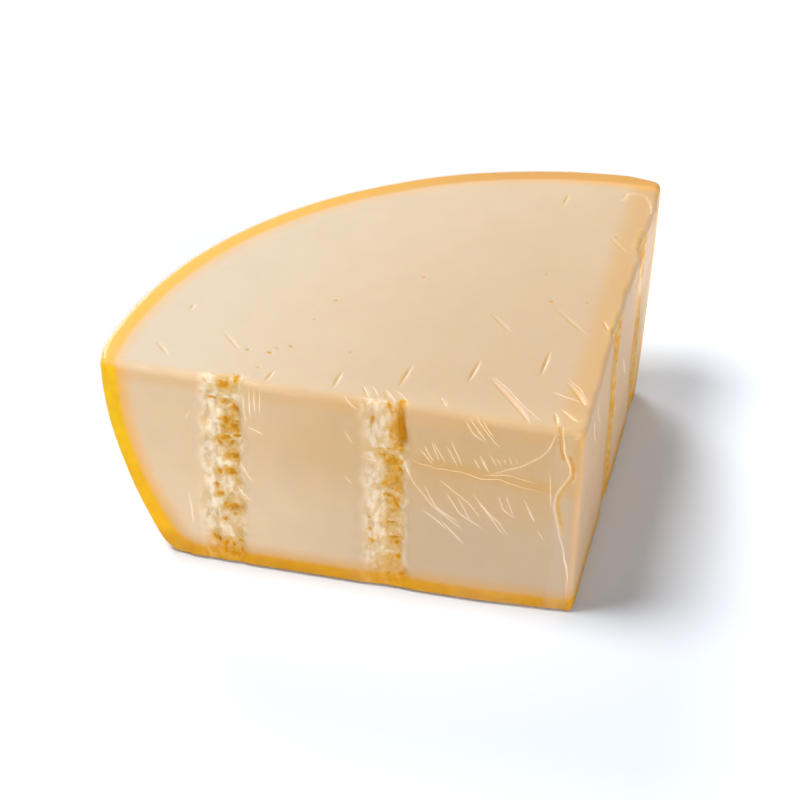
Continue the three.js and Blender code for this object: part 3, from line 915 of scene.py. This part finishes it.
def tented(groove):
    """The film's depth over a groove, on a grid: pulled over the high crumbs and eased between them."""
    s, z = np.meshgrid(np.arange(-16, 16, FILM_CELL), np.arange(-4, HEIGHT + 4, FILM_CELL), indexing="ij")
    depth, _, crumbly, _ = torn(s, z, groove)
    held = np.pad(depth - 0.35 * crumbly, 1, mode="edge")
    wide, tall = s.shape
    depth = np.minimum.reduce([held[a:a + wide, b:b + tall] for a in range(3) for b in range(3)])
    for _ in range(6):
        held = np.pad(depth, 1, mode="edge")
        depth = (held[:-2, 1:-1] + held[2:, 1:-1] + held[1:-1, :-2] + held[1:-1, 2:]) / 8 + depth / 2
    return depth


TENTS = [tented(groove) for groove in GROOVES]


def on_tent(tent, s, z):
    """Reads a tented depth between its grid points."""
    a, b = (s + 16) / FILM_CELL, (z + 4) / FILM_CELL
    i, j = np.floor(a).astype(int), np.floor(b).astype(int)
    p, q = a - i, b - j
    near = tent[i, j] * (1 - q) + tent[i, j + 1] * q
    far = tent[i + 1, j] * (1 - q) + tent[i + 1, j + 1] * q
    return near * (1 - p) + far * p


def film_wall(u, v):
    """Depth of the film's walls, how hazy they are, and how much painted highlight they carry."""
    depth = eased(u, v)
    on_cut = smooth(u, RIGHT_END + 5, RIGHT_END - 20) + smooth(u, LEFT_END + 5, LEFT_END + 25)
    haze_and_glare = (0.04 * smooth(waves(u, v, 12, 8), 0.3, 0.9) + 0.08 * smooth(u, ROUND - 11, ROUND - 8)) * on_cut
    painted_highlight = np.zeros(u.shape)
    for (groove, here, s, z), tent in zip(on_grooves(u, v), TENTS):
        depth[here] += on_tent(tent, s, z)
        # Painted highlights: light streaks in the film over the lumps, kept off the pits and the gold.
        bent = s + 0.45 * z + 2.5 * waves(s, z, 6, groove.seed + 16)
        streaks = smooth(np.abs(sway(bent, z / 3, 2.6, groove.seed + 17)), 0.16, 0)
        _, pits_and_shade, _, gold_and_shade = torn(s, z, groove)
        clean = 1 - np.maximum(smooth(pits_and_shade, 0, 0.5), 0.7 * gold_and_shade)
        streaks = TORN_PALENESS[groove.face] * smooth(np.abs(s + 3), 9.5, 4) * 0.1 * streaks * clean
        painted_highlight[here] = np.maximum(painted_highlight[here], streaks)
    here, _, _, off = beside_pleat(u, v)
    depth[here] -= 0.35 * smooth(np.abs(off), 1, 0.1)
    # The film stands off the back of the right face's upper edge, with a painted highlight along it.
    loose = smooth(u, right_station(120), right_station(160)) * smooth(u, BACK_END + 4, RIGHT_END - 4)
    loose *= smooth(height_at(v), 40, 84) * smooth(v, TALL - 1, TALL - 5) * (u > TIP_END)
    # It stands off the curved side's upper edge too, as a hazy fringe.
    fringe = smooth(u, BACK_END, BACK_END + 30) * smooth(u, RIM_END, RIM_END - 10)
    fringe *= smooth(v, TALL - 9, TALL - 5) * smooth(v, TALL, TALL - 3)
    return depth - 1.6 * loose - 0.7 * fringe, haze_and_glare + 0.3 * fringe, painted_highlight + 0.12 * loose


def film_top(x, y):
    depth = swell(x, y)
    # Haze, whitened towards the far left of the top by a painted glare.
    haze_and_glare = 0.03 * waves(x, y, 12, 8) + 0.2 * smooth(np.hypot(x, y) / 2 - x / 2, 120, 205)
    haze_and_glare *= smooth(np.hypot(x, y), WHEEL_RADIUS - 4, WHEEL_RADIUS - 16)
    painted_highlight = np.zeros(x.shape)
    # Painted highlights on the marks' gentle walls, brightest on the deep ones.
    for mark in TOP_MARKS:
        sunk, _, lit = top_mark(x, y, mark)
        depth += (0.6 if mark[4] > DEEP_MARK else 0.35) * sunk
        painted_highlight = np.maximum(painted_highlight, lit * (0.12 if mark[4] > DEEP_MARK else 0.03))
    return depth, haze_and_glare, painted_highlight


film = skin("film", FILM_GAP, film_wall, film_top, fine_patches(0.6, 0.9), ["haze_and_glare", "painted_highlight"])


def film_material():
    """Clear film. Where it is hazy it hides a little of the cheese, and its haze paints a glare on the top's
    far left; a painted highlight adds a veil of light.
    """
    paint = Paint("clear_film")
    clear = paint.node("BsdfTransparent", {"Color": (1, 1, 1, 1)})
    haze = {"Base Color": colour(238, 233, 224), "Roughness": 0.45, "Specular IOR Level": 0.2}
    haze = paint.node("BsdfPrincipled", haze)
    body = paint.node("MixShader", {0: paint.attribute("haze_and_glare"), 1: clear, 2: haze})
    # The painted highlight: a diffuse veil that adds light on top of the film.
    highlight_veil = paint.node("BsdfDiffuse", {"Color": colour(250, 248, 242)})
    lit = paint.node("AddShader", {0: body, 1: highlight_veil})
    body = paint.node("MixShader", {0: paint.attribute("painted_highlight"), 1: body, 2: lit})
    ripple = paint.node("Bump", {"Height": paint.noise(3.5, 2), "Strength": 0.2, "Distance": 0.3 * MM})
    gloss = paint.node("BsdfAnisotropic", {"Color": (1, 1, 1, 1), "Roughness": 0.16, "Normal": ripple})
    fresnel = paint.node("Fresnel", {"IOR": 1.3, "Normal": ripple})
    shine = (fresnel * 0.35).math("MINIMUM", 0.03)
    return paint.finish(paint.node("MixShader", {0: shine, 1: body, 2: gloss}))


FILM = film_material()
film.data.materials.append(FILM)
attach(film, "root")
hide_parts("cheese_wedge")

# ---------------- the film's wrinkles
# Where the film has too much width it stands up in fine ridges, a third of a millimetre high. Most of them
# slant down from the step where two drawn parts of the film meet, and the largest is the pleat at the tip.

# Ridges on the front face: half width, then places (x, height).
FRONT_RIDGES = [
    (0.42, (-80, 69), (-73, 57), (-65, 47), (-52, 37)), (0.3, (-69, 57), (-63, 46), (-53, 40)),
    (0.4, (-62, 61), (-54, 55), (-49, 51), (-44, 45)), (0.32, (-59, 55), (-53, 45), (-43, 39)),
    (0.3, (-54, 53), (-47, 41)), (0.36, (-47, 56), (-43, 50), (-35, 43), (-31, 37)),
    (0.3, (-44, 52), (-39, 45), (-33, 37)), (0.3, (-36, 57), (-34, 51), (-29, 47)),
    (0.26, (-33, 58), (-29, 48)), (0.34, (-25, 57), (-23, 54), (-20, 47)),
    (0.24, (-69, 44), (-62, 39), (-58, 35)), (0.24, (-61, 40), (-54, 33), (-50, 29)),
    (0.22, (-20, 47), (-23, 52)), (0.26, (-18, 42), (-15, 38)), (0.22, (-72, 76), (-66, 69)),
    (0.24, (-70, 78), (-65, 70)), (0.24, (-67, 80), (-63, 71)), (0.28, (-66, 80), (-60, 71)),
    (0.28, (-60, 79), (-55, 70)), (0.26, (-58, 82), (-53, 71)), (0.22, (-48, 75), (-45, 70)),
    (0.26, (-45, 77), (-43, 71)), (0.22, (-44, 76), (-41, 69)), (0.2, (-41, 78), (-38, 73)),
    (0.18, (-38, 77), (-36, 74)), (0.2, (-35, 77), (-34, 75)), (0.22, (-33, 78), (-31, 75)),
    (0.18, (-30, 78), (-29, 76)), (0.26, (-53, 94), (-49, 88), (-44, 85)), (0.24, (-51, 95), (-43, 85)),
    (0.26, (-48, 96), (-41, 87), (-37, 83)), (0.22, (-45, 95), (-40, 88)),
    (0.34, (-13, 94), (-15, 88), (-19, 81), (-27, 75), (-36, 70), (-40, 68)),
    (0.15, (-80, 73), (-72, 68), (-63, 67), (-54, 67), (-45, 65), (-36, 66), (-28, 64), (-17, 63),
     (-13, 62)), (0.14, (-45, 67), (-33, 69), (-20, 67)), (0.2, (-15, 74), (-14, 67), (-13, 55)),
    (0.6, (-5, 92), (-2, 95)), (0.75, (-5, 69), (-2, 75)), (0.5, *PLEAT), (0.26, (-106, 96), (-100, 91)),
    (0.26, (-105, 79), (-101, 73)), (0.24, (-104, 55), (-101, 52)), (0.26, (-176, 73), (-174, 77)),
    (0.3, (-175, 34), (-171, 17)), (0.26, (-148, 73), (-141, 71)), (0.22, (-151, 91), (-149, 74)),
    (0.2, (-148, 93), (-147, 78)), (0.2, (-146, 94), (-145, 80)), (0.2, (-143, 94), (-143, 81)),
    (0.3, (-152, 40), (-146, 34)), (0.26, (-151, 53), (-145, 45)),
]
# Ridges on the right face: half width, then places (y, height).
RIGHT_RIDGES = [
    (0.24, (24, 88), (30, 74), (41, 63)), (0.2, (34, 90), (38, 80), (47, 70)),
    (0.26, (112, 64), (121, 50), (134, 41)), (0.22, (118, 58), (126, 47)),
    (0.24, (52, 30), (60, 21), (71, 17)), (0.28, (196, 22), (192, 40), (195, 58), (191, 71)),
]
# Ridges round the curved side: half width, then places (distance round it from the right face, height).
RIM_RIDGES = [
    (0.34, (30, 12), (36, 34), (33, 58), (39, 84)), (0.24, (52, 70), (66, 60), (85, 57)),
    (0.22, (60, 82), (71, 71), (80, 67)), (0.3, (148, 88), (158, 66), (155, 41), (162, 15)),
    (0.24, (163, 74), (177, 61), (186, 44)), (0.26, (232, 26), (246, 38), (265, 44)),
    (0.22, (240, 20), (252, 29), (262, 31)), (0.28, (284, 90), (291, 68), (287, 50)),
    (0.24, (100, 20), (112, 27), (128, 25)), (0.2, (106, 14), (117, 19), (126, 18)),
]
# Ridges on the top: half width, then places (x, y).
TOP_RIDGES = [
    (0.36, (-47, 34), (-39, 26), (-32, 17), (-21, 6)), (0.36, (-15, 41), (-8, 34), (-3, 23)),
    (0.42, (-14, 17), (-5, 9)), (0.45, (-16, 14), (-14, 9), (-13, 5)), (0.3, (-7, 90), (-4, 83)),
    (0.22, (-20, 29), (-6, 24)), (0.24, (-66, 12), (-62, 6)), (0.24, (-100, 12), (-96, 4)),
    (0.24, (-96, 13), (-92, 6)), (0.26, (-90, 12), (-84, 4)), (0.26, (-85, 12), (-79, 5)),
    (0.9, (-16, 192), (-14, 199), (-10, 200), (-6, 199), (-3, 194), (-1, 185)),
]
RIDGE_STEP = 0.8
# The ridges' painted highlight, a veil of light added over each ridge.
RIDGE_HIGHLIGHT = 0.045  # of a ridge a millimetre in half width; finer ones are paler, up to the palest
BRIGHTEST_RIDGE = 0.12


def followed(places, seed):
    """Points every step along a smooth line through places, with a slight waver."""
    places = np.array(places, float)
    reach = np.concatenate([[0], np.cumsum(np.hypot(*np.diff(places, axis=0).T))])
    count = max(4, int(reach[-1] / RIDGE_STEP))
    along = np.linspace(0, reach[-1], count)
    line = np.stack([np.interp(along, reach, places[:, k]) for k in (0, 1)], axis=1)
    for _ in range(int(len(line) / max(1, len(places) - 1) / 3)):
        line[1:-1] = line[1:-1] / 2 + (line[:-2] + line[2:]) / 4
    waver = 0.5 * sway(along, 0, 3.5, seed)
    direction = np.gradient(line, axis=0)
    direction /= np.hypot(*direction.T)[:, None]
    return line + np.stack([-direction[:, 1], direction[:, 0]], axis=1) * waver[:, None], along / reach[-1]


def ridge_lines():
    """All ridges as one mesh of edges, with each point's half width."""
    points, edges, widths = [], [], []

    def lay(on_film, half_width, share):
        edges.extend((len(points) + k, len(points) + k + 1) for k in range(len(on_film) - 1))
        points.extend(on_film.tolist())
        widths.extend((half_width * np.sin(np.pi * np.clip(share, 0.04, 0.96)) ** 0.6).tolist())

    on_walls = [
        (front_station(0), LEFT_END, FRONT_RIDGES), (right_station(0), TIP_END, RIGHT_RIDGES),
        (BACK_END, BACK_END, RIM_RIDGES),
    ]
    upright = [(start, least, ridge) for start, least, ridges in on_walls for ridge in ridges]
    for number, (start, least, (half_width, *places)) in enumerate(upright):
        line, share = followed(places, number)
        u = np.clip(start + line[:, 0], least, ROUND)
        v = np.interp(line[:, 1], PROFILE_Z, ALONG)
        lay(place(u, v, film_wall(u, v)[0] + 0.4 * half_width, FILM_GAP), 1.15 * half_width, share)
    for number, (half_width, *places) in enumerate(TOP_RIDGES):
        line, share = followed(places, 100 + number)
        height = HEIGHT - FILM_GAP - film_top(line[:, 0], line[:, 1])[0] - 0.4 * half_width
        lay(np.stack([line[:, 0], line[:, 1], height], axis=1), half_width, share)
    mesh = bpy.data.meshes.new("ridge_lines")
    mesh.from_pydata((np.array(points) * MM + np.array(AXIS)).tolist(), edges, [])
    write(mesh, "half_width", widths)
    return added("ridge_lines", mesh)


def ridge_tree():
    grow = Growth("raised_ridges", ["Unit", "Highlight"])
    width = grow.attribute("half_width")
    lines = grow.node("GeometryNodeMeshToCurve", {"Mesh": grow.taken("Geometry")})
    section = grow.node("GeometryNodeCurvePrimitiveCircle", {"Resolution": 8, "Radius": grow.taken("Unit")})
    tubes = grow.node("GeometryNodeCurveToMesh", {
        "Curve": lines, "Profile Curve": section, "Scale": width, "Fill Caps": True,
    })
    # The ridges carry a painted highlight, stronger on finer ones.
    return grow.finish(tubes, "painted_highlight", (grow.taken("Highlight") / width).math("MINIMUM", BRIGHTEST_RIDGE), FILM)


drawn = ridge_lines()
wrinkles = grown("film_wrinkles", drawn, ridge_tree(), {"Unit": MM, "Highlight": RIDGE_HIGHLIGHT}, FILM)
bpy.data.objects.remove(drawn)
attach(wrinkles, "root")
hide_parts("cheese_wedge")

# ---------------- the floor and the light
# A white table in a white room, lit until it is white on the picture: a broad soft key high on the left, and
# weaker fills in front, on the right and behind.

FLOOR_HALF = 6.0
floor_mesh = bpy.data.meshes.new("floor")
sides = [(-1, -1), (1, -1), (1, 1), (-1, 1)]
floor_mesh.from_pydata([(x * FLOOR_HALF, y * FLOOR_HALF, 0) for x, y in sides], [], [(0, 1, 2, 3)])
floor = added("floor", floor_mesh)
floor_paint = Paint("white_table")
floor_white = floor_paint.node("BsdfDiffuse", {"Color": (0.86, 0.905, 0.965, 1)})
floor_mesh.materials.append(floor_paint.finish(floor_white))

world = bpy.data.worlds.new("white_room")
world.use_nodes = True
world.node_tree.nodes["Background"].inputs["Color"].default_value = (0.85, 1, 1.2, 1)
world.node_tree.nodes["Background"].inputs["Strength"].default_value = 0.03
bpy.context.scene.world = world
bpy.context.scene.view_settings.view_transform = "Standard"


def broad_lamp(name, azimuth, elevation, strength, spread, tint):
    """An even lamp that lies in a direction from the wedge, in degrees, and looks so many degrees wide."""
    lamp = bpy.data.lights.new(name, "SUN")
    lamp.energy = strength
    lamp.angle = math.radians(spread)
    lamp.color = tint
    lit = added(name, lamp)
    lit.rotation_mode = "QUATERNION"
    azimuth, elevation = math.radians(azimuth), math.radians(elevation)
    level = math.cos(elevation)
    away = Vector((-math.cos(azimuth) * level, -math.sin(azimuth) * level, -math.sin(elevation)))
    lit.rotation_quaternion = away.to_track_quat("-Z", "Y")


broad_lamp("key", 185, 63, 2.75, 28, (1, 1, 1))
broad_lamp("front", 286.7, 20, 1.08, 36, (1, 1, 1))
broad_lamp("side", 334, 19.3, 1, 28, (0.96, 1, 1.06))
broad_lamp("behind", 122, 28, 1.75, 24, (0.96, 1, 1.06))
